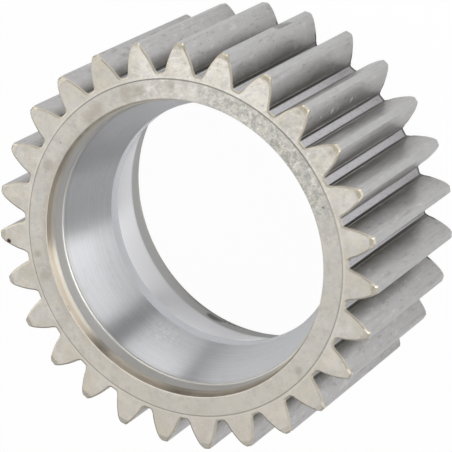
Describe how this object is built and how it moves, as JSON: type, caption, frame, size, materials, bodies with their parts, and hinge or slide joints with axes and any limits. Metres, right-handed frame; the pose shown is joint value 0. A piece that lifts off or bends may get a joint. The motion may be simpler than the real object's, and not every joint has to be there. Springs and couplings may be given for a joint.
{
  "type": "differential pinion gear",
  "caption": "Wide straight-cut steel planet pinion ring with involute teeth, sloped tooth ends and a bore of opposed tapered roller raceways that meet at a central rib.",
  "frame": {"origin": "centre of the rear hub face, on the gear's axis", "axes": "+Z along the gear's axis from the rear hub face to the front hub face, +X through the middle of a tooth"},
  "size_m": [0.1311, 0.1312, 0.0622],
  "materials": {
    "steel": "satin machined steel with a matte blasted end face and polished raceways"
  },
  "bodies": {
    "root": {"planet_pinion": "steel"}
  },
  "joints": []
}
